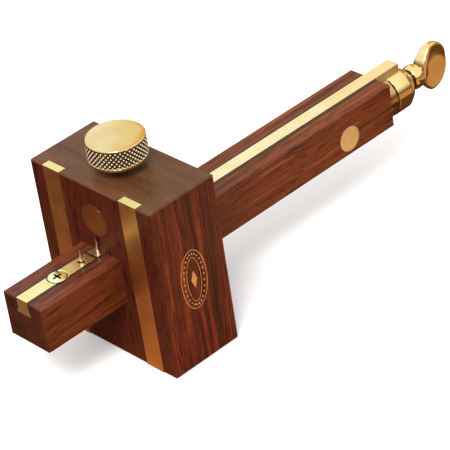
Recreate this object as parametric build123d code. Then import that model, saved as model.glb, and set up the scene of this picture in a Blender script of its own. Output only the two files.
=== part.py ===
"""Screw-slide mortise gauge in rosewood and brass.

Millimetres, +Z up. The origin is the centre of the head's underside. The stem runs along Y through
the head: its marking end points to -Y and its adjusting screw to +Y. The fence is the head's -Y face.
"""
import os

from build123d import *

# Head: a block with two wear strips let into the fence
head_width = 57.6
head_depth = 28.5
head_height = 65.0
head_edge = 0.5
wear_strip_width = 8.2
wear_strip_depth = 3.0
wear_strip_offset = 18.4

# Stem: a square-ended beam that slides in the head's mortise
stem_width = 19.0
stem_height = 17.0
stem_length = 163.7
stem_bottom = 22.9
stem_reach = 33.8
stem_edge = 0.4
mortise_side_gap = 0.1
mortise_top_gap = 0.2

# Brass bar let into the top of the stem: a short fixed strip in front, a long slide behind
bar_width = 5.1
bar_foot_width = 7.0
bar_foot_height = 1.5
bar_depth = 5.3
bar_proud = 0.4
bar_gap = 0.1
fixed_strip_setback = 4.2
strip_spacing = 1.05
bar_overhang = 11.7

# Marking pins
pin_diameter = 1.2
pin_height = 4.6
pin_cone = 3.8
pin_root = 3.6
pin_recess_diameter = 2.6
pin_recess_depth = 0.7
fixed_pin_setback = 8.0
slide_pin_setback = 0.8
marking_pin_height = 3.4
marking_pin_root = 8.0
marking_pin_cone = 2.7
pin_slot_width = 2.4
pin_slot_height = 5.5
bar_relief_height = 0.7
bar_relief_side_gap = 0.3

# Countersunk screw that holds the fixed strip
screw_setback = 18.4
screw_head_diameter = 6.5
screw_head_depth = 2.1
screw_crown = 0.25
screw_crown_halfway = 0.19
screw_shank_diameter = 2.8
screw_shank_length = 9.0
screw_point_length = 2.0
screw_sink_margin = 0.4
cross_arm_length = 3.6
cross_arm_width = 0.8
cross_depth = 1.3

# Clamp: a knurled thumbscrew in a barrel nut, bearing on a shoe over the slide
clamp_nut_diameter = 11.6
clamp_nut_height = 52.0
clamp_stud_diameter = 6.0
clamp_stud_hole_diameter = 6.6
clamp_tip_diameter = 4.0
clamp_tip_length = 2.2
shoe_diameter = 8.0
shoe_thickness = 4.0
shoe_pocket_diameter = 8.4
knob_diameter = 20.4
knob_rim_diameter = 19.8
knob_foot_diameter = 19.2
knob_height = 8.2
knob_rim_height = 0.6
knob_foot_height = 0.8
knob_clearance = 3.8
knob_socket_depth = 6.0

# Adjuster: ferrule, lug, thumb turn and lead screw on one axis at the back of the stem
axis_height = 29.2
lead_screw_diameter = 5.0
lead_screw_bore = 5.8
lead_screw_engagement = 15.6
cross_nut_diameter = 9.6
cross_nut_inset = 22.3
ferrule_diameter = 16.0
ferrule_length = 5.3
ferrule_rim_radius = 1.2
ferrule_edge = 0.35
spigot_diameter = 9.6
spigot_length = 6.0
lug_diameter = 16.2
lug_length = 11.75
lug_barrel_length = 6.9
lug_end_diameter = 8.4
lug_edge = 0.35
lug_groove_width = 0.45
lug_groove_depth = 0.45
collar_diameter = 9.0
collar_recess_diameter = 9.4
collar_length = 3.0
collar_pin_diameter = 1.2
collar_pin_length = 8.6
neck_diameter = 6.8
bead_diameter = 9.4
bead_width = 5.2
bead_centre = 3.95
plate_length = 15.4
plate_height = 18.6
plate_thickness = 4.8
plate_centre = 13.7
plate_edge = 1.3
plate_dish_depth = 0.8
shoulder_thickness = 3.6
shoulder_height = 16.6
dish_bulge = 10.0
turn_socket_depth = 6.0

# Fits
running_gap = 0.05
end_gap = 0.05

fence_y = -head_depth / 2
back_y = head_depth / 2
stem_front_y = fence_y - stem_reach
stem_rear_y = stem_front_y + stem_length
stem_top = stem_bottom + stem_height
bar_top = stem_top + bar_proud
bar_bottom = stem_top - bar_depth
strip_end_y = fence_y - fixed_strip_setback
slide_front_y = strip_end_y + strip_spacing
slide_rear_y = stem_rear_y + bar_overhang
fixed_pin_y = fence_y - fixed_pin_setback
slide_pin_y = fence_y - slide_pin_setback
screw_y = fence_y - screw_setback
cross_nut_y = stem_rear_y - cross_nut_inset
lead_screw_tip_y = cross_nut_y - lead_screw_engagement
ferrule_rear_y = stem_rear_y + ferrule_length
lug_front_y = ferrule_rear_y + end_gap
lug_rear_y = lug_front_y + lug_length
turn_front_y = lug_rear_y + end_gap
knob_bottom = head_height + knob_clearance
knob_top = knob_bottom + knob_height


def block(x, y, z):
    """A box between the low and high values given for each axis."""
    centre = Pos((x[0] + x[1]) / 2, (y[0] + y[1]) / 2, (z[0] + z[1]) / 2)
    return centre * Box(x[1] - x[0], y[1] - y[0], z[1] - z[0])


def rod_x(diameter, x, y, z):
    """A cylinder along X from x[0] to x[1]."""
    length = x[1] - x[0]
    return Pos((x[0] + x[1]) / 2, y, z) * Rot(0, 90, 0) * Cylinder(diameter / 2, length)


def rod_y(diameter, y, z):
    """A cylinder along Y from y[0] to y[1], over the centre line."""
    return Pos(0, (y[0] + y[1]) / 2, z) * Rot(90, 0, 0) * Cylinder(diameter / 2, y[1] - y[0])


def rod_z(diameter, z, y=0.0):
    """A cylinder along Z from z[0] to z[1]."""
    return Pos(0, y, (z[0] + z[1]) / 2) * Cylinder(diameter / 2, z[1] - z[0])


def turned_y(profile, z=axis_height):
    """A turned piece on an axis along Y; the profile's X is the radius and its Y the place along it."""
    return Pos(0, 0, z) * revolve(make_face(profile), Axis.Y)


def turned_z(profile, y=0.0):
    """A turned piece on an axis along Z, from a profile drawn as radius and height."""
    upright = Plane.XZ * make_face(profile)
    return Pos(0, y, 0) * revolve(upright, Axis.Z)


def bar(y, gap=0.0):
    """The brass bar between two places along Y: straight sides on a flared foot, grown by a gap."""
    half = bar_width / 2 + gap
    foot = bar_foot_width / 2 + gap
    low = bar_bottom - gap
    outline = Polyline(
        (-foot, low),
        (foot, low),
        (half, low + bar_foot_height + gap),
        (half, bar_top + gap),
        (-half, bar_top + gap),
        (-half, low + bar_foot_height + gap),
        close=True,
    )
    face = Plane.XZ.offset(-y[0]) * make_face(outline)
    return extrude(face, amount=-(y[1] - y[0]))


def wear_strip_space(side):
    """The space of one wear strip, on the left (-1) or the right (+1) of the fence."""
    centre = side * wear_strip_offset
    half = wear_strip_width / 2
    return block((centre - half, centre + half), (fence_y, fence_y + wear_strip_depth), (0, head_height))


def screw_sink():
    """The countersink and pilot hole of the strip screw."""
    radius = screw_head_diameter / 2 + screw_sink_margin
    depth = screw_head_depth + screw_sink_margin
    shank = screw_shank_diameter / 2
    bottom = bar_top - screw_head_depth - screw_shank_length - screw_point_length
    outline = Polyline(
        (0, bar_top + screw_crown + 1),
        (radius, bar_top + screw_crown + 1),
        (radius, bar_top),
        (shank, bar_top - depth),
        (shank, bottom + screw_point_length),
        (0, bottom),
        close=True,
    )
    return turned_z(outline, screw_y)


# Head

def make_head_block():
    body = block((-head_width / 2, head_width / 2), (fence_y, back_y), (0, head_height))
    body = chamfer(body.edges(), head_edge)
    through = (fence_y - 1, back_y + 1)
    mortise = stem_width / 2 + mortise_side_gap
    body -= block((-mortise, mortise), through, (stem_bottom, stem_top + mortise_top_gap))
    relief = bar_width / 2 + bar_relief_side_gap
    body -= block((-relief, relief), through, (stem_top, stem_top + bar_relief_height))
    slot = pin_slot_width / 2
    body -= block((-slot, slot), (fence_y - 1, 0), (stem_top, stem_top + pin_slot_height))
    body -= rod_y(clamp_nut_diameter, through, clamp_nut_height)
    body -= rod_z(shoe_pocket_diameter, (stem_top, clamp_nut_height))
    body -= rod_z(clamp_stud_hole_diameter, (clamp_nut_height, head_height + 1))
    body -= wear_strip_space(-1)
    body -= wear_strip_space(1)
    return body


def make_clamp_nut():
    body = rod_y(clamp_nut_diameter, (fence_y, back_y), clamp_nut_height)
    reach = clamp_nut_diameter
    hole = clamp_stud_diameter + 2 * running_gap
    return body - rod_z(hole, (clamp_nut_height - reach, clamp_nut_height + reach))


# Clamp

def make_clamp_shoe():
    top = bar_top + shoe_thickness
    body = rod_z(shoe_diameter, (bar_top, top))
    body = chamfer(body.edges().group_by(Axis.Z)[-1], head_edge)
    socket = clamp_tip_diameter + 2 * running_gap
    return body - rod_z(socket, (top - clamp_tip_length, top + 1))


def make_clamp_stud():
    shoulder = bar_top + shoe_thickness + end_gap
    body = rod_z(clamp_stud_diameter, (shoulder, knob_bottom + knob_socket_depth))
    return body + rod_z(clamp_tip_diameter, (shoulder - clamp_tip_length, shoulder))


def make_clamp_knob():
    outline = Polyline(
        (0, knob_bottom),
        (knob_foot_diameter / 2 - head_edge, knob_bottom),
        (knob_foot_diameter / 2, knob_bottom + head_edge),
        (knob_foot_diameter / 2, knob_bottom + knob_foot_height),
        (knob_diameter / 2, knob_bottom + knob_foot_height),
        (knob_diameter / 2, knob_top - knob_rim_height),
        (knob_rim_diameter / 2, knob_top),
        (0, knob_top),
        close=True,
    )
    body = turned_z(outline)
    return body - rod_z(clamp_stud_diameter, (knob_bottom - 1, knob_bottom + knob_socket_depth))


# Stem

def make_stem_beam():
    half = stem_width / 2
    body = block((-half, half), (stem_front_y, stem_rear_y), (stem_bottom, stem_top))
    body = chamfer(body.edges(), stem_edge)
    body -= bar((stem_front_y - 1, stem_rear_y + 1), bar_gap)
    body += bar_bed()
    body -= screw_sink()
    body -= rod_z(pin_diameter, (stem_bottom - 1, stem_bottom + marking_pin_root), fixed_pin_y)
    body -= rod_x(cross_nut_diameter, (-stem_width, stem_width), cross_nut_y, axis_height)
    body -= rod_y(lead_screw_bore, (lead_screw_tip_y - 1, stem_rear_y + 1), axis_height)
    body -= rod_y(spigot_diameter, (stem_rear_y - spigot_length, stem_rear_y + 1), axis_height)
    return body


def bar_bed():
    """The wood that fills the bar's gap under the fixed strip and the slide, so both rest on it."""
    half = bar_foot_width / 2 + bar_gap
    rear = stem_rear_y - stem_edge
    return block((-half, half), (stem_front_y + stem_edge, rear), (bar_bottom - bar_gap, bar_bottom))


def make_fixed_strip():
    body = bar((stem_front_y, strip_end_y))
    body -= screw_sink()
    recess = Polyline(
        (0, bar_top + 1),
        (pin_recess_diameter / 2 + 1, bar_top + 1),
        (pin_diameter / 2, bar_top - pin_recess_depth),
        (0, bar_top - pin_recess_depth),
        close=True,
    )
    body -= turned_z(recess, fixed_pin_y)
    return body - rod_z(pin_diameter, (bar_top - pin_root, bar_top + 1), fixed_pin_y)


def make_pin(root, shoulder, tip, y):
    """A round pin with a sharp point, from its root to its tip; the point starts at the shoulder."""
    outline = Polyline(
        (0, root),
        (pin_diameter / 2, root),
        (pin_diameter / 2, shoulder),
        (0, tip),
        close=True,
    )
    return turned_z(outline, y)


def make_fixed_pin():
    tip = bar_top + pin_height
    return make_pin(bar_top - pin_root, tip - pin_cone, tip, fixed_pin_y)


def make_marking_pin():
    root = stem_bottom + marking_pin_root
    tip = stem_bottom - marking_pin_height
    return make_pin(root, tip + marking_pin_cone, tip, fixed_pin_y)


def make_strip_screw():
    head = screw_head_diameter / 2
    shank = screw_shank_diameter / 2
    neck = bar_top - screw_head_depth
    point = neck - screw_shank_length
    outline = Polyline((head, bar_top), (shank, neck), (shank, point), (0, point - screw_point_length))
    crown_top = (0, bar_top + screw_crown)
    crown = ThreePointArc(crown_top, (head / 2, bar_top + screw_crown_halfway), (head, bar_top))
    centre = Line((0, point - screw_point_length), crown_top)
    body = turned_z(outline + crown + centre, screw_y)
    top = bar_top + screw_crown + 1
    floor = bar_top + screw_crown - cross_depth
    for long_x, long_y in ((cross_arm_length, cross_arm_width), (cross_arm_width, cross_arm_length)):
        x = (-long_x / 2, long_x / 2)
        y = (screw_y - long_y / 2, screw_y + long_y / 2)
        body -= block(x, y, (floor, top))
    return body


def make_cross_nut():
    body = rod_x(cross_nut_diameter, (-stem_width / 2, stem_width / 2), cross_nut_y, axis_height)
    hole = lead_screw_diameter + 2 * running_gap
    return body - rod_y(hole, (cross_nut_y - stem_width, cross_nut_y + stem_width), axis_height)


def make_stem_ferrule():
    ring = rod_y(ferrule_diameter, (stem_rear_y, ferrule_rear_y), axis_height)
    ring = fillet(ring.edges().group_by(Axis.Y)[0], ferrule_rim_radius)
    ring = chamfer(ring.edges().group_by(Axis.Y)[-1], ferrule_edge)
    spigot = rod_y(spigot_diameter, (stem_rear_y - spigot_length, stem_rear_y + 1), axis_height)
    body = ring + spigot
    body -= rod_y(lead_screw_bore, (stem_rear_y - 2 * spigot_length, ferrule_rear_y + 1), axis_height)
    return body - bar((stem_rear_y - 1, ferrule_rear_y + 1), bar_gap)


# Slide

def make_slide_bar():
    body = bar((slide_front_y, slide_rear_y))
    return body - rod_z(pin_diameter, (bar_top - pin_root, bar_top + 1), slide_pin_y)


def make_slide_pin():
    tip = bar_top + pin_height
    return make_pin(bar_top - pin_root, tip - pin_cone, tip, slide_pin_y)


def make_slide_lug():
    """A barrel with a turned groove and a domed end, recessed in front for the thrust collar."""
    radius = lug_diameter / 2
    groove_y = lug_front_y + lug_barrel_length
    dome_y = groove_y + lug_groove_width
    floor = radius - lug_groove_depth
    front = Polyline(
        (0, lug_front_y),
        (radius - lug_edge, lug_front_y),
        (radius, lug_front_y + lug_edge),
        (radius, groove_y),
        (floor, groove_y),
        (floor, dome_y),
        (radius - lug_edge, dome_y),
    )
    end = (lug_end_diameter / 2, lug_rear_y)
    dome = RadiusArc(front @ 1, end, -radius)
    rear = Polyline(end, (0, lug_rear_y), (0, lug_front_y))
    body = turned_y(front + dome + rear)
    recess_end = lug_front_y + collar_length + 2 * end_gap
    body -= rod_y(collar_recess_diameter, (lug_front_y - 1, recess_end), axis_height)
    hole = lead_screw_diameter + 2 * running_gap
    body -= rod_y(hole, (lug_front_y - 1, lug_rear_y + 1), axis_height)
    return body - bar((lug_front_y - 1, slide_rear_y))


# Adjuster

def make_lead_screw():
    rear = turn_front_y + turn_socket_depth
    body = rod_y(lead_screw_diameter, (lead_screw_tip_y, rear), axis_height)
    return chamfer(body.edges().group_by(Axis.Y)[0], head_edge) - collar_pin_space()


def collar_pin_space():
    """The cross pin's space through the collar and the lead screw."""
    y = lug_front_y + end_gap + collar_length / 2
    half = collar_pin_length / 2
    return rod_x(collar_pin_diameter, (-half, half), y, axis_height)


def make_thrust_collar():
    front = lug_front_y + end_gap
    body = rod_y(collar_diameter, (front, front + collar_length), axis_height)
    body -= rod_y(lead_screw_diameter, (front - 1, front + collar_length + 1), axis_height)
    return body - collar_pin_space()


def make_thumb_turn():
    """A neck and a bead that flare into an oval thumb plate with dished faces."""
    centre = Pos(0, turn_front_y + plate_centre, axis_height)
    oval = Plane.YZ * Ellipse(plate_length / 2, plate_height / 2)
    plate = extrude(oval, amount=plate_thickness / 2, both=True)
    plate = centre * fillet(plate.edges(), plate_edge)
    shoulder = centre * extrude(Plane.YZ * thumb_shoulder(), amount=shoulder_thickness / 2, both=True)
    body = turned_y(thumb_stalk()) + shoulder + plate
    for side in (-1, 1):
        body -= centre * Pos(side * plate_thickness / 2, 0, 0) * thumb_dish(side)
    socket = (turn_front_y - 1, turn_front_y + turn_socket_depth)
    return body - rod_y(lead_screw_diameter, socket, axis_height)


def thumb_shoulder():
    """The sloping sides that join the bead to the oval, drawn from the middle of the oval."""
    start = bead_centre - plate_centre
    neck = neck_diameter / 2
    end = -plate_length / 4
    shoulder = shoulder_height / 2
    outline = Polyline((start, -neck), (end, -shoulder), (end, shoulder), (start, neck), close=True)
    return make_face(outline)


def thumb_stalk():
    """Half the outline of the neck, the bead and the round root of the plate."""
    neck = neck_diameter / 2
    bead_y = turn_front_y + bead_centre
    bead_start = (neck, bead_y - bead_width / 2)
    bead_end = (neck, bead_y + bead_width / 2)
    root = (plate_thickness / 2 - plate_dish_depth, turn_front_y + plate_centre - plate_length / 4)
    front = Polyline((0, turn_front_y), (neck, turn_front_y), bead_start)
    bead = ThreePointArc(bead_start, (bead_diameter / 2, bead_y), bead_end)
    rear = Polyline(bead_end, root, (0, root[1]), (0, turn_front_y))
    return front + bead + rear


def thumb_dish(side):
    """The cutter of one thumb plate face: part of an ellipsoid whose cap fits inside the plate's rim."""
    depth = plate_dish_depth
    spread = (1 - (1 - depth / dish_bulge) ** 2) ** 0.5
    half_length = (plate_length / 2 - plate_edge) / spread
    half_height = (plate_height / 2 - plate_edge) / spread
    cutter = scale(Sphere(1), by=(dish_bulge, half_length, half_height))
    return Pos(side * (dish_bulge - depth), 0, 0) * cutter


parts = {
    "head_block": make_head_block(),
    "left_wear_strip": wear_strip_space(-1),
    "right_wear_strip": wear_strip_space(1),
    "clamp_nut": make_clamp_nut(),
    "clamp_shoe": make_clamp_shoe(),
    "clamp_stud": make_clamp_stud(),
    "clamp_knob": make_clamp_knob(),
    "stem_beam": make_stem_beam(),
    "fixed_strip": make_fixed_strip(),
    "strip_screw": make_strip_screw(),
    "fixed_pin": make_fixed_pin(),
    "marking_pin": make_marking_pin(),
    "cross_nut": make_cross_nut(),
    "stem_ferrule": make_stem_ferrule(),
    "slide_bar": make_slide_bar(),
    "slide_pin": make_slide_pin(),
    "slide_lug": make_slide_lug(),
    "lead_screw": make_lead_screw(),
    "thrust_collar": make_thrust_collar(),
    "collar_pin": collar_pin_space(),
    "thumb_turn": make_thumb_turn(),
}

os.makedirs("parts", exist_ok=True)
for name, shape in parts.items():
    export_step(shape, f"parts/{name}.step")
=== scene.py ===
"""The marking gauge as it is seen: materials, knurl, threads, thumb turn, ornament, camera and light.

Metres, in the CAD frame: +Z up, the stem along Y, the fence on the head's -Y face.
"""

import math

import bpy
from mathutils import Euler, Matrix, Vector


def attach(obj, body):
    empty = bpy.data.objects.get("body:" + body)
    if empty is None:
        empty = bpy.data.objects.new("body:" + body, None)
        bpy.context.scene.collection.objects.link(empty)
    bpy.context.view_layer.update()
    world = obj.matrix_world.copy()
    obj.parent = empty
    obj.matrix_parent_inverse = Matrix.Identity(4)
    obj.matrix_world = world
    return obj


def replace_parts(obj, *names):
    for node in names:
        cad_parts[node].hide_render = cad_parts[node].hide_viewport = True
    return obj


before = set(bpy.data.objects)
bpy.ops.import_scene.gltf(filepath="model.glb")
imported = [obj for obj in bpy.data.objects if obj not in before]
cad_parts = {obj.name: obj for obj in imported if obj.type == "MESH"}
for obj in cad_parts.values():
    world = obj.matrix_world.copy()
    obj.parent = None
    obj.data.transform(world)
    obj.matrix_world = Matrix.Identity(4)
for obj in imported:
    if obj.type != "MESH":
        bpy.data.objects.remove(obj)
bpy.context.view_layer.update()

MM = 0.001

# Places shared with the CAD part, in millimetres

AXIS_HEIGHT = 29.2
HEAD_SIDE = 28.8
FENCE = -14.25
WEAR_STRIP_INNER = 14.3
WEAR_STRIP_OUTER = 22.5
WEAR_STRIP_BACK = -11.25
CLAMP_NUT = (0.0, 0.0, 52.0)
CLAMP_NUT_RADIUS = 5.8
KNOB_BOTTOM = 68.8
KNOB_TOP = 77.0
KNOB_RADIUS = 10.2
KNURL_BOTTOM = KNOB_BOTTOM + 1.35
KNURL_TOP = KNOB_TOP - 0.8
KNOB_AXIS = (0.0, 0.0, 0.0)
SHOE_TOP = 44.3
STEM_REAR = 115.65
BAR_TOP = 40.3
BAR_BOTTOM = 34.6
BAR_HALF_FOOT = 3.5
FIXED_PIN = -22.25
STRIP_SCREW = (0.0, -32.65, 0.0)
CROSS_NUT = (0.0, 93.35, AXIS_HEIGHT)
CROSS_NUT_RADIUS = 4.8
LEAD_SCREW_TIP = 77.75
FERRULE_END = 120.95
COLLAR_FRONT = 121.05
GROOVE_START = 127.9
GROOVE_END = 128.35
TURN_FRONT = 132.8
ADJUSTER_AXIS = (0.0, 0.0, AXIS_HEIGHT)


# Shader building

class Graph:
    """A node tree, built a few nodes at a time."""

    def __init__(self, owner):
        owner.use_nodes = True
        self.tree = owner.node_tree
        self.tree.nodes.clear()

    def add(self, kind, **settings):
        made = self.tree.nodes.new(kind)
        for key, value in settings.items():
            setattr(made, key, value)
        return made

    def put(self, socket, value):
        """Gives a socket a plain value, or links it to another node's output."""
        if isinstance(value, bpy.types.NodeSocket):
            self.tree.links.new(value, socket)
        elif hasattr(value, "__len__") and len(value) == 3 and socket.type == "RGBA":
            socket.default_value = (*value, 1.0)
        else:
            socket.default_value = value

    def vector_math(self, operation, a, b):
        made = self.add("ShaderNodeVectorMath", operation=operation)
        self.put(made.inputs[0], a)
        self.put(made.inputs[1], b)
        return made.outputs

    def scaled(self, vector, by):
        return self.vector_math("MULTIPLY", vector, by)[0]

    def moved(self, vector, by):
        return self.vector_math("ADD", vector, by)[0]

    def dot(self, a, b):
        return self.vector_math("DOT_PRODUCT", a, b)["Value"]

    def parts(self, vector):
        """A vector's X, Y and Z."""
        made = self.add("ShaderNodeSeparateXYZ")
        self.put(made.inputs[0], vector)
        return made.outputs

    def math(self, operation, a, b=0.0):
        made = self.add("ShaderNodeMath", operation=operation)
        self.put(made.inputs[0], a)
        self.put(made.inputs[1], b)
        return made.outputs[0]

    def noise(self, vector, detail=2.0, rough=0.5):
        made = self.add("ShaderNodeTexNoise")
        self.put(made.inputs["Vector"], vector)
        self.put(made.inputs["Scale"], 1.0)
        self.put(made.inputs["Detail"], detail)
        self.put(made.inputs["Roughness"], rough)
        return made.outputs["Fac"]

    def band(self, value, low, high, start=0.0, end=1.0):
        """A smooth step of a value from low to high, as start to end."""
        made = self.add("ShaderNodeMapRange", interpolation_type="SMOOTHSTEP")
        for name, number in (("Value", value), ("From Min", low), ("From Max", high),
                             ("To Min", start), ("To Max", end)):
            self.put(made.inputs[name], number)
        return made.outputs[0]

    def mix(self, a, b, share):
        made = self.add("ShaderNodeMix", data_type="RGBA")
        self.put(made.inputs[0], share)
        self.put(made.inputs[6], a)
        self.put(made.inputs[7], b)
        return made.outputs[2]

    def ramp(self, value, stops):
        made = self.add("ShaderNodeValToRGB")
        ramp = made.color_ramp
        while len(ramp.elements) < len(stops):
            ramp.elements.new(0.5)
        for element, (place, colour) in zip(ramp.elements, stops):
            element.position = place
            element.color = (*colour, 1.0)
        self.put(made.inputs[0], value)
        return made.outputs[0]

    def normal(self):
        return self.add("ShaderNodeNewGeometry").outputs["Normal"]

    def rounded(self, radius):
        """The normal with edges rounded to a radius in millimetres."""
        bevel = self.add("ShaderNodeBevel", samples=6)
        self.put(bevel.inputs["Radius"], radius * MM)
        return bevel.outputs[0]

    def edge(self, radius):
        """How near a surface is to an edge, from 0 to 1."""
        turned_away = self.math("SUBTRACT", 1.0, self.dot(self.rounded(radius), self.normal()))
        return self.band(turned_away, 0.02, 0.3)


class Shader(Graph):
    """A node material with one Principled surface; place is the point in millimetres."""

    def __init__(self, name):
        self.material = bpy.data.materials.new(name)
        super().__init__(self.material)
        self.surface = self.add("ShaderNodeBsdfPrincipled")
        output = self.add("ShaderNodeOutputMaterial")
        self.tree.links.new(self.surface.outputs["BSDF"], output.inputs["Surface"])
        place = self.add("ShaderNodeTexCoord")
        self.place = self.scaled(place.outputs["Object"], (1000.0, 1000.0, 1000.0))

    def set(self, **values):
        for key, value in values.items():
            self.put(self.surface.inputs[key.replace("_", " ")], value)

    def bump(self, height, strength, distance, radius=None):
        """The bump of a height in millimetres, over edges rounded to a radius."""
        made = self.add("ShaderNodeBump")
        self.put(made.inputs["Strength"], strength)
        self.put(made.inputs["Distance"], distance * MM)
        self.put(made.inputs["Height"], height)
        if radius is not None:
            self.put(made.inputs["Normal"], self.rounded(radius))
        self.put(self.surface.inputs["Normal"], made.outputs[0])

    def facing(self, component, share=1.0):
        """How squarely a face looks along an axis, from 0 to a share."""
        return self.band(self.math("ABSOLUTE", component), 0.5, 0.8, 0.0, share)


def along(axis, across, length):
    """Stretch factors of a pattern that runs along an axis."""
    return tuple(length if i == axis else across for i in range(3))


def evenly(factor):
    return (factor, factor, factor)


def distance_about(shader, axis, centre):
    """The distance in millimetres from an axis through a centre."""
    offset = shader.moved(shader.place, tuple(-c for c in centre))
    length = shader.add("ShaderNodeVectorMath", operation="LENGTH")
    shader.put(length.inputs[0], shader.scaled(offset, along(axis, 1.0, 0.0)))
    return length.outputs["Value"]


# Seams: dirt, wear and dark joints, and also painted shade, painted highlights and painted reflections,
# placed by the part's own coordinates

# Seam tints: the dark one is dirt and dark joints in some seams and painted shade in others; the orange
# one is a painted reflection of the rosewood fence; the pale sawn one is painted light on the tops of
# the strips, which are also rougher.
DIRT_AND_SHADE = (0.045, 0.018, 0.008)
FENCE_REFLECTION_TINT = (0.80, 0.42, 0.17)
WORN_WOOD = (0.40, 0.20, 0.12)
WORN_BRASS = (0.98, 0.85, 0.52)
SAWN_AND_LIT_BRASS = (0.78, 0.76, 0.40)


def limit(measure, place, unmarked, marked):
    """A seam's limit at a place, whose unmarked and marked sides are this far from it."""
    return measure, place + unmarked, place + marked


def mix_into_seams(shader, colour, seams, round_axis, centre, seam_tint=DIRT_AND_SHADE):
    """Mixes a seam tint into a colour in seams and hollows, for dirt and wear and for painted light and
    shade.

    Each seam is a strength and some (measure, unmarked, marked) limits in millimetres, all of which
    must hold: the measures are x, y and z, |x| and r, the distance from the round axis.
    """
    x, y, z = shader.parts(shader.place)
    measures = {"x": x, "y": y, "z": z, "|x|": shader.math("ABSOLUTE", x)}
    if centre is not None:
        measures["r"] = distance_about(shader, round_axis, centre)
    for strength, *limits in seams:
        share = strength
        for measure, unmarked, marked in limits:
            share = shader.math("MULTIPLY", share, shader.band(measures[measure], unmarked, marked))
        colour = shader.mix(colour, seam_tint, share)
    return colour


# Kinds of material

GRAIN_STOPS = (0.37, 0.44, 0.53, 0.60, 0.67)
END_GRAIN_STOPS = (0.34, 0.50, 0.68)


def rosewood(name, axis, colours, end_colours, stripes, shift, plain, grime_and_shade, round_axis, centre):
    """Oiled and polished rosewood with its grain along one axis and pores on its end grain.

    The stripes are the growth's stretch factors. Plain is the axis, share and colour of the sides
    that are cut so that they hardly show stripes.
    """
    wood = Shader(name)
    place = wood.moved(wood.place, shift)
    sway = wood.noise(wood.scaled(place, along(axis, 0.05, 0.03)), detail=1.0)
    place = wood.moved(place, wood.scaled(sway, evenly(5.0)))
    growth = wood.noise(wood.scaled(place, stripes), detail=3.0, rough=0.6)
    fibre = wood.noise(wood.scaled(place, along(axis, 1.4, 0.022)), detail=4.0, rough=0.8)
    pore = wood.noise(wood.scaled(place, along(axis, 1.5, 0.08)), detail=1.0)
    tone = wood.math("ADD", wood.math("MULTIPLY", growth, 0.55), wood.math("MULTIPLY", fibre, 0.45))
    sides = wood.ramp(tone, tuple(zip(GRAIN_STOPS, colours)))
    rays = wood.noise(wood.scaled(place, tuple(0.25 * c for c in stripes)), detail=2.0)
    tone = wood.math("ADD", wood.math("MULTIPLY", rays, 0.7), wood.math("MULTIPLY", fibre, 0.3))
    ends = wood.ramp(tone, tuple(zip(END_GRAIN_STOPS, end_colours)))

    normal = wood.parts(wood.normal())
    plain_axis, plain_share, plain_colour = plain
    plain_side = wood.facing(normal[plain_axis], plain_share)
    sides = wood.mix(sides, plain_colour, plain_side)
    end_grain = wood.facing(normal[axis])
    colour = wood.mix(sides, ends, end_grain)

    pore_depth = wood.band(end_grain, 0.0, 1.0, 0.7, 0.35)
    pores = wood.math("MULTIPLY", wood.band(pore, 0.57, 0.66), pore_depth)
    pore_colour = tuple(c * 0.3 for c in colours[0])
    colour = wood.mix(colour, pore_colour, wood.math("MULTIPLY", pores, 0.9))
    wear = wood.math("MULTIPLY", wood.edge(0.6), wood.band(fibre, 0.3, 0.6, 0.25, 0.8))
    colour = wood.mix(colour, WORN_WOOD, wood.math("MULTIPLY", wear, 0.55))
    colour = mix_into_seams(wood, colour, grime_and_shade, round_axis, centre)

    coat = wood.math("SUBTRACT", 0.16, wood.math("MULTIPLY", plain_side, 0.15))
    wood.set(Base_Color=colour, Coat_Weight=coat, Coat_Roughness=0.12, Coat_IOR=1.5,
             Specular_IOR_Level=0.14, Roughness=wood.band(fibre, 0.3, 0.7, 0.34, 0.5))
    relief = wood.math("SUBTRACT", wood.math("MULTIPLY", fibre, 0.5), pores)
    wood.bump(relief, 0.25, 0.05)
    return wood.material


def polished_brass(name, axis, tint, deep, roughness, brushed=0.35, radius=0.15, centre=None,
                   grime_and_shade=(), sawn_and_lit_ends=False, worn=WORN_BRASS, wear_and_painted_light=(), painted_fence_reflection=()):
    """Brass with lighter edges, and fine marks along one axis, or in rings about it and a centre.

    Grime, rubbed and tarnish are seams that turn dark, as light as a worn edge, and orange.
    """
    brass = Shader(name)
    cloud = brass.noise(brass.scaled(brass.place, evenly(0.16)), detail=3.0)
    if centre is None:
        marks = brass.noise(brass.scaled(brass.place, along(axis, 9.0, 0.12)), detail=2.0, rough=0.7)
    else:
        reach = brass.add("ShaderNodeCombineXYZ")
        brass.put(reach.inputs[0], brass.math("MULTIPLY", distance_about(brass, axis, centre), 7.0))
        marks = brass.noise(reach.outputs[0], detail=2.0, rough=0.7)
    colour = brass.mix(deep, tint, brass.band(cloud, 0.32, 0.62))
    mark_colour = tuple(c * 0.62 for c in deep)
    colour = brass.mix(colour, mark_colour, brass.band(marks, 0.62, 0.85, 0.0, 0.4))
    colour = brass.mix(colour, worn, brass.math("MULTIPLY", brass.edge(radius), 0.85))
    for seams, seam_tint in ((wear_and_painted_light, worn), (painted_fence_reflection, FENCE_REFLECTION_TINT), (grime_and_shade, DIRT_AND_SHADE)):
        colour = mix_into_seams(brass, colour, seams, axis, centre, seam_tint)
    rough = brass.math("ADD", brass.band(marks, 0.3, 0.7, roughness * 0.8, roughness * 1.25),
                       brass.band(cloud, 0.45, 0.75, 0.0, 0.05))
    # Sawn ends: the end faces are rougher, and are also painted lighter, which is painted light on the
    # tops of the strips.
    if sawn_and_lit_ends:
        end = brass.facing(brass.parts(brass.normal())[axis])
        rough = brass.math("ADD", rough, brass.math("MULTIPLY", end, 0.3))
        colour = brass.mix(colour, SAWN_AND_LIT_BRASS, brass.math("MULTIPLY", end, 0.75))
    brass.set(Base_Color=colour, Metallic=1.0, Roughness=rough)
    brass.bump(marks, brushed, 0.004, radius)
    return brass.material


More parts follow.
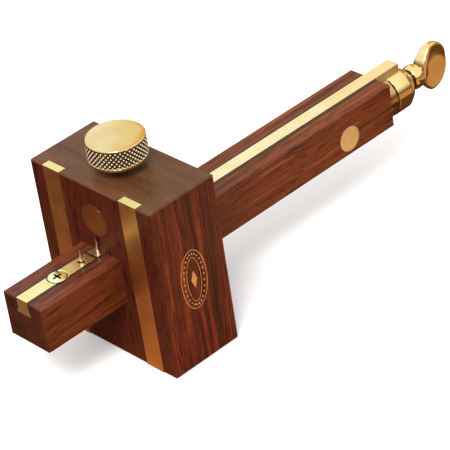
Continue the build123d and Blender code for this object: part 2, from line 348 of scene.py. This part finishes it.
def bright_steel(name, axis, tint, roughness):
    """Ground steel with fine marks along one axis."""
    steel = Shader(name)
    marks = steel.noise(steel.scaled(steel.place, along(axis, 8.0, 0.4)), detail=2.0)
    cloud = steel.noise(steel.scaled(steel.place, evenly(0.5)), detail=2.0)
    stained = tuple(c * 0.6 for c in tint)
    colour = steel.mix(tint, stained, steel.band(cloud, 0.5, 0.75, 0.0, 0.6))
    steel.set(Base_Color=colour, Metallic=1.0,
              Roughness=steel.band(marks, 0.3, 0.7, roughness * 0.8, roughness * 1.3))
    steel.bump(marks, 0.2, 0.004)
    return steel.material


# The materials of the part

NEAR_THE_FENCE = limit("y", FENCE, -13.75, -4.75)
BELOW_BAR_TOP = limit("z", BAR_TOP, -0.02, -0.2)
FOOT_OF_BAR = limit("|x|", BAR_HALF_FOOT, -0.25, 0.0)
ABOVE_KNOB_FOOT = limit("z", KNURL_BOTTOM, -0.25, -0.05)
BEFORE_FERRULE_END = limit("y", FERRULE_END, -0.45, -0.2)

head_wood = rosewood(
    "rosewood_of_head", 2,
    ((0.008, 0.002, 0.001), (0.055, 0.008, 0.004), (0.110, 0.015, 0.006), (0.20, 0.030, 0.009),
     (0.48, 0.095, 0.028)),
    ((0.060, 0.023, 0.009), (0.095, 0.038, 0.015), (0.145, 0.060, 0.024)),
    (0.10, 0.58, 0.008), (3.0, 16.0, 0.0), (1, 0.75, (0.070, 0.014, 0.006)),
    ((0.85, limit("|x|", WEAR_STRIP_INNER, -0.3, -0.05), limit("|x|", WEAR_STRIP_OUTER, 0.3, 0.05),
      limit("y", WEAR_STRIP_BACK, 0.35, 0.15)),
     (0.85, limit("r", CLAMP_NUT_RADIUS, 0.3, 0.05))),
    1, CLAMP_NUT)
stem_wood = rosewood(
    "rosewood_of_stem", 1,
    ((0.038, 0.009, 0.004), (0.095, 0.020, 0.007), (0.150, 0.034, 0.011), (0.21, 0.052, 0.017),
     (0.36, 0.105, 0.037)),
    ((0.035, 0.008, 0.004), (0.060, 0.014, 0.006), (0.10, 0.026, 0.010)),
    (0.5, 0.008, 0.5), (31.0, 0.0, 7.0), (0, 0.25, (0.170, 0.036, 0.011)),
    ((0.9, limit("|x|", BAR_HALF_FOOT, 0.6, 0.35), limit("z", BAR_BOTTOM, -0.2, 0.0)),
     (0.85, limit("r", CROSS_NUT_RADIUS, 0.3, 0.05))),
    0, CROSS_NUT)

# Wear strips: their brass is deeper than the rest, partly a satin finish and partly painted shade on the
# fence side; their tops are painted lighter, a painted light. The dark lines at their edges are dark
# joints.
strip_brass = polished_brass(
    "brass_of_strips", 2, (0.73, 0.44, 0.165), (0.67, 0.385, 0.125), 0.36,
    grime_and_shade=((0.8, limit("|x|", WEAR_STRIP_INNER, 0.2, 0.0)),
           (0.8, limit("|x|", WEAR_STRIP_OUTER, -0.2, 0.0))),
    sawn_and_lit_ends=True)
# Fixed strip: a dark joint at the bar's foot; dark in the recess round the fixed pin's base, a painted
# shadow; orange-brown towards the fence, a painted reflection of the rosewood fence.
fixed_brass = polished_brass(
    "brass_of_fixed_strip", 1, (0.96, 0.86, 0.47), (0.91, 0.78, 0.36), 0.34,
    grime_and_shade=((0.9, FOOT_OF_BAR),
           (0.9, BELOW_BAR_TOP, limit("y", FIXED_PIN, -1.75, -1.35), limit("y", FIXED_PIN, 1.65, 1.35))),
    painted_fence_reflection=((0.85, NEAR_THE_FENCE),))
# Slide: a dark joint at the bar's foot; more golden towards its rear, a painted reflection; orange-brown
# at its front end by the fence, a painted reflection of the rosewood fence.
slide_brass = polished_brass(
    "brass_of_slide", 1, (0.98, 0.93, 0.72), (0.94, 0.86, 0.58), 0.34,
    grime_and_shade=((0.9, FOOT_OF_BAR, limit("y", STEM_REAR, 0.15, -0.05)),),
    wear_and_painted_light=((0.9, limit("y", STEM_REAR, -45.65, 9.35)),),
    painted_fence_reflection=((0.85, NEAR_THE_FENCE, limit("y", FENCE, 1.25, 0.25)),))
nut_brass = polished_brass(
    "brass_of_clamp_nut", 1, (0.70, 0.47, 0.20), (0.62, 0.39, 0.14), 0.18, radius=0.3,
    centre=CLAMP_NUT, grime_and_shade=((0.8, limit("r", CLAMP_NUT_RADIUS, -0.2, 0.0)),))
cross_brass = polished_brass(
    "brass_of_cross_nut", 0, (0.93, 0.79, 0.49), (0.86, 0.70, 0.38), 0.42, radius=0.6,
    centre=CROSS_NUT, grime_and_shade=((0.8, limit("r", CROSS_NUT_RADIUS, -0.2, 0.0)),))
# Screw: darker below the bar's top, in the cross recess of its head.
screw_brass = polished_brass(
    "brass_of_screw", 2, (0.97, 0.88, 0.56), (0.92, 0.80, 0.44), 0.22, centre=STRIP_SCREW,
    grime_and_shade=((0.9, BELOW_BAR_TOP),))
# Knob: the knurl's valleys are dark, partly dirt and partly painted shade; the knurl's peaks and the
# turned edges take a near-white colour, partly wear and partly painted highlights.
knob_brass = polished_brass(
    "brass_of_knob", 2, (0.80, 0.59, 0.29), (0.75, 0.52, 0.22), 0.13, radius=0.12, centre=KNOB_AXIS,
    grime_and_shade=((0.95, limit("r", KNOB_RADIUS, -0.26, -0.46), limit("z", KNURL_TOP, 0.0, -0.1),
            ABOVE_KNOB_FOOT),),
    worn=(1.0, 0.93, 0.68), wear_and_painted_light=((0.9, limit("r", KNOB_RADIUS, -0.4, -0.2), ABOVE_KNOB_FOOT),))
# Turned brass: a dark joint at the ferrule's end; darker in the groove and on the neck before the bead;
# a dark band at the root of the fan, just behind the bead, a painted reflection.
turned_brass = polished_brass(
    "brass_turned", 1, (0.90, 0.68, 0.32), (0.84, 0.58, 0.23), 0.045, 0.15, centre=ADJUSTER_AXIS,
    grime_and_shade=((0.9, BEFORE_FERRULE_END, limit("y", FERRULE_END, 0.5, 0.25)),
           (0.85, limit("y", GROOVE_START, -0.1, 0.05), limit("y", GROOVE_END, 0.15, -0.05)),
           (0.85, limit("y", TURN_FRONT, 0.1, 0.4), limit("y", TURN_FRONT, 1.8, 1.5)),
           (0.85, limit("y", TURN_FRONT, 6.1, 6.3), limit("y", TURN_FRONT, 8.2, 6.7))))
# Ferrule: a darker copy of the turned brass with darker edges, painted shade of the stem's end; the dark
# seam at its end is a dark joint.
shaded_ferrule_brass = polished_brass(
    "brass_of_ferrule_painted_shade", 1, (0.60, 0.37, 0.15), (0.50, 0.29, 0.11), 0.1, centre=ADJUSTER_AXIS,
    grime_and_shade=((0.9, BEFORE_FERRULE_END),), worn=(0.80, 0.56, 0.26))
needle_steel = bright_steel("steel_of_pins", 2, (0.62, 0.62, 0.64), 0.2)
rod_steel = bright_steel("steel_of_screws", 1, (0.58, 0.58, 0.60), 0.28)

NODE_MATERIALS = {
    head_wood: ("head_block",),
    stem_wood: ("stem_beam",),
    strip_brass: ("left_wear_strip", "right_wear_strip"),
    fixed_brass: ("fixed_strip",),
    slide_brass: ("slide_bar",),
    nut_brass: ("clamp_nut", "clamp_shoe"),
    cross_brass: ("cross_nut",),
    screw_brass: ("strip_screw",),
    shaded_ferrule_brass: ("stem_ferrule",),
    turned_brass: ("slide_lug", "thrust_collar"),
    needle_steel: ("fixed_pin", "slide_pin", "marking_pin"),
    rod_steel: ("collar_pin",),
}
for material, names in NODE_MATERIALS.items():
    for name in names:
        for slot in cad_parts[name].material_slots:
            slot.link = "OBJECT"
            slot.material = material


# Mesh building

def mesh_piece(name, points, faces, material, body, smooth_angle):
    """A mesh from points in millimetres, riding on a body, smooth below an angle in degrees."""
    mesh = bpy.data.meshes.new(name)
    mesh.from_pydata([Vector(p) * MM for p in points], [], faces)
    mesh.update()
    piece = bpy.data.objects.new(name, mesh)
    bpy.context.scene.collection.objects.link(piece)
    mesh.materials.append(material)
    mesh.polygons.foreach_set("use_smooth", [True] * len(mesh.polygons))
    mesh.set_sharp_from_angle(angle=math.radians(smooth_angle))
    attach(piece, body)
    return piece


def grid_faces(rows, columns, start=0):
    """The quads of a grid whose last column joins its first."""
    faces = []
    for row in range(rows - 1):
        for column in range(columns):
            after = (column + 1) % columns
            low = start + row * columns
            high = low + columns
            faces.append((low + column, low + after, high + after, high + column))
    return faces


def end_faces(rows, columns, start=0):
    """The faces that close the first and last rows of such a grid."""
    last = start + (rows - 1) * columns
    return [tuple(range(start + columns - 1, start - 1, -1)), tuple(range(last, last + columns))]


def circle_angles(count):
    return [2 * math.pi * i / count for i in range(count)]


def circle(radius, height, count):
    return [(radius * math.cos(a), radius * math.sin(a), height) for a in circle_angles(count)]


# Clamp knob: turned foot and top, with a diamond knurl between

KNURL_COUNT = 38
KNURL_ROWS = 7
KNURL_DEPTH = 0.6
KNOB_CENTRE_RADIUS = 0.05
KNOB_CROWN = 0.2
KNOB_CROWN_RADIUS = 9.4


def make_knob():
    columns = 2 * KNURL_COUNT
    foot = [(KNOB_CENTRE_RADIUS, KNOB_BOTTOM), (9.6, KNOB_BOTTOM), (9.85, KNOB_BOTTOM + 0.12),
            (9.95, KNOB_BOTTOM + 0.3), (9.95, KNOB_BOTTOM + 1.05), (9.6, KNURL_BOTTOM - 0.05)]
    top = [(9.98, KNOB_TOP - 0.6), (9.9, KNOB_TOP - 0.4), (9.7, KNOB_TOP - 0.25)]
    for radius in (KNOB_CROWN_RADIUS, 8.0, 6.5, 5.0, 3.5, 2.0, KNOB_CENTRE_RADIUS):
        top.append((radius, KNOB_TOP - KNOB_CROWN * (radius / KNOB_CROWN_RADIUS) ** 2))
    points = []
    for radius, height in foot:
        points += circle(radius, height, columns)
    for row in range(KNURL_ROWS + 1):
        height = KNURL_BOTTOM + (KNURL_TOP - KNURL_BOTTOM) * row / KNURL_ROWS
        for column, angle in enumerate(circle_angles(columns)):
            peak = (row + column) % 2 == 1
            radius = KNOB_RADIUS if peak else KNOB_RADIUS - KNURL_DEPTH
            points.append((radius * math.cos(angle), radius * math.sin(angle), height))
    for radius, height in top:
        points += circle(radius, height, columns)
    rows = len(foot) + KNURL_ROWS + 1 + len(top)
    faces = []
    for low, right, left, high in grid_faces(rows, columns):
        row, column = divmod(low, columns)
        row -= len(foot)
        if not 0 <= row < KNURL_ROWS:
            faces.append((low, right, left, high))
        elif (row + column) % 2 == 0:
            faces += [(low, right, left), (low, left, high)]
        else:
            faces += [(low, right, high), (right, left, high)]
    faces += end_faces(rows, columns)
    return mesh_piece("knurled_knob", points, faces, knob_brass, "clamp_screw", 22)


knob = make_knob()
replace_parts(knob, "clamp_knob")


# Screw threads: each is a share of the pitch deep, with flat crests and roots

THREAD_SHARE = 0.58
THREAD_STEPS = 28
ROD_SIDES = 48


def thread_rows(radius, pitch, start, end):
    """A thread's rows round a rod, one row for each step of the turn, run out at both ends."""
    depth = THREAD_SHARE * pitch
    profile = ((0.0, radius), (0.12, radius), (0.47, radius - depth), (0.63, radius - depth))
    turns = int((end - start) / pitch) - 1
    last = start + pitch * (turns + 1)
    points, faces = [], []
    columns = len(profile) * turns + 1
    for step in range(THREAD_STEPS + 1):
        angle = 2 * math.pi * step / THREAD_STEPS
        for column in range(columns):
            turn, part = divmod(column, len(profile))
            share, reach = profile[part]
            place = start + pitch * (turn + share + step / THREAD_STEPS)
            run_out = min(1.0, (place - start) / pitch, (last - place) / pitch)
            reach = radius - depth + (reach - radius + depth) * run_out
            points.append((reach * math.cos(angle), place, -reach * math.sin(angle)))
    for step in range(THREAD_STEPS):
        for column in range(columns - 1):
            low = step * columns + column
            high = low + columns
            faces.append((low, low + 1, high + 1, high))
    return points, faces


def threaded_rod(radius, pitch, start, end, lengths):
    """A thread over a core along Y, with plain turned lengths given as rings of (radius, place)."""
    points, faces = thread_rows(radius, pitch, start, end)
    core = radius - THREAD_SHARE * pitch
    for rings in [((core, start), (core + 0.02, end))] + lengths:
        first = len(points)
        for reach, place in rings:
            points += [(reach * math.cos(a), place, -reach * math.sin(a))
                       for a in circle_angles(ROD_SIDES)]
        faces += grid_faces(len(rings), ROD_SIDES, first)
        faces += end_faces(len(rings), ROD_SIDES, first)
    return points, faces


def make_lead_screw():
    core, radius, pitch = 2.04, 2.5, 0.8
    tip = [(core - 0.5, LEAD_SCREW_TIP), (core, LEAD_SCREW_TIP + 0.5), (core, LEAD_SCREW_TIP + 1.2)]
    journal = [(radius - 0.3, COLLAR_FRONT - 0.4), (radius, COLLAR_FRONT - 0.1),
               (radius, TURN_FRONT + 6.0)]
    points, faces = threaded_rod(radius, pitch, LEAD_SCREW_TIP + 0.6, COLLAR_FRONT - 0.3,
                                 [tip, journal])
    points = [(x, y, z + AXIS_HEIGHT) for x, y, z in points]
    return mesh_piece("threaded_lead_screw", points, faces, rod_steel, "adjuster", 24)


def make_clamp_stud():
    radius, pitch = 3.0, 1.0
    tip = [(1.8, SHOE_TOP - 2.15), (2.0, SHOE_TOP - 1.95), (2.0, SHOE_TOP + 0.5)]
    top = [(radius - 0.6, KNOB_BOTTOM - 0.8), (radius - 0.6, KNOB_BOTTOM + 6.0)]
    points, faces = threaded_rod(radius, pitch, SHOE_TOP + 0.1, KNOB_BOTTOM + 0.4, [tip, top])
    points = [(x, -z, y) for x, y, z in points]
    return mesh_piece("threaded_clamp_stud", points, faces, rod_steel, "clamp_screw", 24)


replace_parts(make_lead_screw(), "lead_screw")
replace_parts(make_clamp_stud(), "clamp_stud")


# Thumb turn: neck, bead and a fan that thins out into an oval plate with dished faces.
# Places are distances behind its front face.

NECK_RADIUS = 3.4
BEAD_RADIUS = 4.7
BEAD_CENTRE = 3.95
BEAD_HALF = 2.6
FAN_START = 6.6
FLARE_START = 3.5
FLARE_SLOPE = 1.13
FLARE_SQUARENESS = 5.0
FAN_ROOT_THICKNESS = 3.45
FAN_THICKNESS = 2.75
FAN_TAPER = 0.11
OVAL_CENTRE = 13.7
OVAL_LENGTH = 7.7
OVAL_HEIGHT = 9.3
DISH_CENTRE = 14.1
DISH_LENGTH = 6.75
DISH_HEIGHT = 8.75
DISH_DEPTH = 0.75
DISH_EDGE = 2.3
DISH_TAPER = 0.105
DISH_TAPER_START = 7.5
DISH_LIP = 0.12
TURN_SIDES = 192
BEAD_RINGS = 28
FAN_RINGS = 150


def blend(a, b, share):
    share = min(max(share, 0.0), 1.0)
    share = share * share * (3 - 2 * share)
    return a + (b - a) * share


def turn_section(place):
    """Half height and squareness of the thumb turn's section at a place."""
    if place <= BEAD_CENTRE - BEAD_HALF:
        return NECK_RADIUS, 2.0
    if place < BEAD_CENTRE + BEAD_HALF:
        offset = (place - BEAD_CENTRE) / BEAD_HALF
        return NECK_RADIUS + (BEAD_RADIUS - NECK_RADIUS) * math.sqrt(max(0.0, 1 - offset ** 2)), 2.0
    reach = (place - OVAL_CENTRE) / OVAL_LENGTH
    oval = OVAL_HEIGHT * math.sqrt(max(0.0, 1 - reach ** 2))
    flare = FLARE_START + (place - FAN_START) * FLARE_SLOPE
    height = oval if place > OVAL_CENTRE else min(flare, oval) if reach > -0.85 else flare
    return height, blend(2.0, FLARE_SQUARENESS, (place - FAN_START) / 2.2)


def thickness_at(place):
    """Half thickness of the fan: as thick as the neck at first, thinning out towards the rim."""
    root = place - FAN_START
    wedge = FAN_THICKNESS - FAN_TAPER * root
    if place > OVAL_CENTRE:
        reach = (place - OVAL_CENTRE) / OVAL_LENGTH
        wedge *= math.sqrt(max(0.0, 1 - reach ** 8))
    return blend(FAN_ROOT_THICKNESS, wedge, root / 3.2)


def dish_at(place, height):
    """The X of the dished face at a place on the thumb plate; outside the dish it is far out."""
    along_dish = (place - DISH_CENTRE) / DISH_LENGTH
    up_dish = height / DISH_HEIGHT
    edge = DISH_EDGE - DISH_TAPER * (place - DISH_TAPER_START)
    return edge - DISH_DEPTH * (1 - along_dish ** 2 - up_dish ** 2)


def soft_min(a, b, radius):
    h = max(radius - abs(a - b), 0.0) / radius
    return min(a, b) - h * h * radius * 0.25


def turn_places():
    """The places of the thumb turn's rings, closer together towards the rim."""
    bead_front = BEAD_CENTRE - BEAD_HALF
    places = [0.02 + (bead_front - 0.02) * i / 3 for i in range(3)]
    for i in range(BEAD_RINGS + 1):
        places.append(BEAD_CENTRE - BEAD_HALF * math.cos(math.pi * i / BEAD_RINGS))
    for i in range(1, FAN_RINGS + 1):
        t = i / FAN_RINGS
        t = t * 0.55 + 0.45 * math.sin(t * math.pi / 2)
        places.append(FAN_START + (OVAL_CENTRE + OVAL_LENGTH - FAN_START) * t)
    return places


def make_thumb_turn():
    places = turn_places()
    points = []
    for place in places:
        height, power = turn_section(place)
        height = max(height, 0.01)
        thickness = max(thickness_at(place), 0.01) if place > FAN_START else height
        for angle in circle_angles(TURN_SIDES):
            c, s = math.cos(angle), math.sin(angle)
            z = height * math.copysign(abs(s) ** (2 / power), s)
            x = thickness * abs(c) ** (2 / power)
            if place > FAN_START and x > 0.2:
                x = soft_min(x, dish_at(place, z), DISH_LIP)
            points.append((math.copysign(x, c), TURN_FRONT + place, AXIS_HEIGHT + z))
    faces = grid_faces(len(places), TURN_SIDES) + end_faces(len(places), TURN_SIDES)
    return mesh_piece("thumb_plate", points, faces, turned_brass, "adjuster", 40)


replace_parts(make_thumb_turn(), "thumb_turn")


# Gilt ornament on the side of the head: two oval lines, a ring of dots and a lozenge

ORNAMENT_Y = -0.4
ORNAMENT_Z = 32.3
GILT_HEIGHT = 0.03
GILT_SINK = 0.02
OVAL_LINES = ((5.5, 11.2, 0.24), (3.0, 8.4, 0.2))
OVAL_SIDES = 96
DOT_COUNT = 26
DOT_RADIUS = 0.34
DOT_SIDES = 12
DOT_RING = (4.25, 9.8)
LOZENGE = ((0.0, -3.4), (1.3, 0.0), (0.0, 3.4), (-1.3, 0.0))


def gilt_material():
    gilt = Shader("gilt_print")
    worn = gilt.noise(gilt.scaled(gilt.place, evenly(2.2)), detail=3.0)
    colour = gilt.mix((0.72, 0.42, 0.16), (0.36, 0.15, 0.05), gilt.band(worn, 0.5, 0.7))
    gilt.set(Base_Color=colour, Metallic=0.55, Roughness=gilt.band(worn, 0.4, 0.7, 0.38, 0.6))
    gilt.bump(worn, 0.3, 0.01)
    return gilt.material


def plate_on_side(outline, start):
    """A thin raised shape on the head's side from a closed outline of (y, z)."""
    points = []
    for x in (HEAD_SIDE - GILT_SINK, HEAD_SIDE + GILT_HEIGHT):
        points += [(x, ORNAMENT_Y + y, ORNAMENT_Z + z) for y, z in outline]
    return points, grid_faces(2, len(outline), start) + end_faces(2, len(outline), start)


def oval_line(half_width, half_height, line, start):
    """A raised oval line, as a grid of one row for each step round it."""
    half = line / 2
    section = ((-GILT_SINK, -half), (GILT_HEIGHT, -half), (GILT_HEIGHT, half), (-GILT_SINK, half))
    points = []
    for angle in circle_angles(OVAL_SIDES):
        for rise, side in section:
            y = (half_width + side) * math.cos(angle)
            z = (half_height + side) * math.sin(angle)
            points.append((HEAD_SIDE + rise, ORNAMENT_Y + y, ORNAMENT_Z + z))
    faces = []
    for i in range(OVAL_SIDES):
        here = start + 4 * i
        there = start + 4 * ((i + 1) % OVAL_SIDES)
        for k in range(4):
            after = (k + 1) % 4
            faces.append((here + k, here + after, there + after, there + k))
    return points, faces


def make_ornament():
    points, faces = [], []
    for half_width, half_height, line in OVAL_LINES:
        more, sides = oval_line(half_width, half_height, line, len(points))
        points += more
        faces += sides
    outlines = []
    for angle in circle_angles(DOT_COUNT):
        y, z = DOT_RING[0] * math.cos(angle), DOT_RING[1] * math.sin(angle)
        outlines.append([(y + DOT_RADIUS * math.cos(a), z + DOT_RADIUS * math.sin(a))
                         for a in circle_angles(DOT_SIDES)])
    for outline in outlines + [LOZENGE]:
        more, sides = plate_on_side(outline, len(points))
        points += more
        faces += sides
    return mesh_piece("gilt_ornament", points, faces, gilt_material(), "head", 30)


make_ornament()


# Camera

camera_data = bpy.data.cameras.new("camera")
camera_data.sensor_width = 36.0
camera_data.lens = 196.8
camera_data.shift_x = -0.0430
camera_data.shift_y = 0.0223
camera_data.clip_start = 0.05
camera_data.clip_end = 20.0
camera = bpy.data.objects.new("camera", camera_data)
camera.location = (0.53859, -0.40478, 0.48480)
camera.rotation_euler = Euler([math.radians(a) for a in (55.7236, 7.0778, 45.1870)], "XYZ")
bpy.context.scene.collection.objects.link(camera)
bpy.context.scene.camera = camera


# Floor: plain and pale as the camera sees it. Reflections and bounced light see a brown card
# instead, with a dark patch round the thumb turn, a painted shadow that the thumb plate reflects.

FLOOR_HALF = 6.0
FLOOR_DIAGONAL = (0.7071, 0.7071, 0.0)
CARD_STOPS = ((0.0, (0.09, 0.035, 0.017)), (0.40, (0.40, 0.170, 0.082)),
              (0.82, (0.62, 0.40, 0.205)), (1.0, (0.35, 0.205, 0.105)))
PATCH = (0.075, 0.034, 0.014)
PATCH_SLANT = (0.335, 1.0, 0.0)


def dark_patch(paper):
    """The patch's share: a painted shadow, a slanted shape round the thumb turn, with a pale strip left
    out.
    """
    x, y, z = paper.parts(paper.place)
    beside = paper.math("MULTIPLY", paper.band(x, 29.0, 27.5), paper.band(y, 108.0, 114.0))
    near = paper.math("MAXIMUM", beside, paper.band(y, 142.0, 146.0))
    slant = paper.dot(paper.place, PATCH_SLANT)
    patch = paper.math("MULTIPLY", near, paper.band(slant, 196.2, 195.2))
    strip = paper.math("MULTIPLY", paper.band(x, 5.0, 7.0), paper.band(x, 15.0, 13.0))
    strip = paper.math("MULTIPLY", strip, paper.band(y, 183.0, 186.0))
    return paper.math("MULTIPLY", patch, paper.math("SUBTRACT", 1.0, strip))


def floor_material():
    paper = Shader("pale_floor")
    seen = paper.add("ShaderNodeLightPath").outputs["Is Camera Ray"]
    speckle = paper.noise(paper.scaled(paper.place, evenly(0.3)), detail=2.0)
    white = paper.mix((0.93, 0.93, 0.93), (0.95, 0.95, 0.95), speckle)
    away = paper.math("MULTIPLY", paper.dot(paper.place, FLOOR_DIAGONAL), 0.01)
    card = paper.ramp(paper.math("MULTIPLY", paper.math("ADD", away, 1.0), 0.4), CARD_STOPS)
    card = paper.mix(card, PATCH, dark_patch(paper))
    paper.set(Base_Color=paper.mix(card, white, seen), Roughness=0.9,
              Specular_IOR_Level=0.0, Emission_Color=(1.0, 1.0, 1.0),
              Emission_Strength=paper.math("MULTIPLY", seen, 0.08))
    return paper.material


def make_floor():
    mesh = bpy.data.meshes.new("floor")
    half = FLOOR_HALF
    corners = [(-half, -half, 0.0), (half, -half, 0.0), (half, half, 0.0), (-half, half, 0.0)]
    mesh.from_pydata(corners, [], [(0, 1, 2, 3)])
    floor = bpy.data.objects.new("floor", mesh)
    bpy.context.scene.collection.objects.link(floor)
    mesh.materials.append(floor_material())


make_floor()


# Light: one soft lamp, and a white tent whose light comes from the world

LAMP_PLACE = Vector((0.42, -0.62, 1.05))
LAMP_TARGET = Vector((0.0, 0.03, 0.03))
LAMP_SIZE = 0.45
LAMP_POWER = 14.0

PANEL_CENTRE = (-0.6351, 0.5332, 0.5589)
PANEL_ACROSS = (0.6994, 0.7040, 0.1232)
PANEL_STOPS = ((0.0, (1.05, 1.2, 1.2)), (0.16, (1.12, 1.34, 1.6)), (0.40, (1.08, 1.22, 1.22)),
               (0.56, (1.02, 1.0, 0.70)), (0.72, (0.96, 0.84, 0.44)), (0.88, (0.88, 0.62, 0.2)))
LOW_SKY = (0.20, 0.12, 0.07)
HIGH_SKY = (1.2, 1.2, 1.22)


def make_lamp():
    data = bpy.data.lights.new("key", "AREA")
    data.shape = "RECTANGLE"
    data.size = LAMP_SIZE
    data.size_y = LAMP_SIZE
    data.energy = LAMP_POWER
    data.color = (1.0, 0.97, 0.93)
    lamp = bpy.data.objects.new("key", data)
    lamp.location = LAMP_PLACE
    lamp.rotation_euler = (LAMP_TARGET - LAMP_PLACE).to_track_quat("-Z", "Y").to_euler()
    bpy.context.scene.collection.objects.link(lamp)


def make_studio():
    """A white tent, brown low down, with a panel in one direction that runs from cool to gold."""
    world = bpy.data.worlds.new("studio")
    bpy.context.scene.world = world
    tent = Graph(world)
    output = tent.add("ShaderNodeOutputWorld")
    background = tent.add("ShaderNodeBackground")
    tent.tree.links.new(background.outputs[0], output.inputs["Surface"])
    direction = tent.add("ShaderNodeTexCoord").outputs["Generated"]
    across = tent.dot(direction, PANEL_ACROSS)
    ahead = tent.dot(direction, PANEL_CENTRE)
    lean = tent.math("DIVIDE", across, tent.math("MAXIMUM", ahead, 0.05))
    panel = tent.ramp(tent.math("MULTIPLY", tent.math("ADD", lean, 0.16), 4.0), PANEL_STOPS)
    height = tent.parts(direction)[2]
    open_sky = tent.mix(LOW_SKY, HIGH_SKY, tent.band(height, 0.02, 0.45))
    sky = tent.mix(open_sky, panel, tent.band(ahead, 0.90, 0.97))
    tent.put(background.inputs["Color"], sky)


make_lamp()
make_studio()

bpy.context.scene.view_settings.view_transform = "Standard"
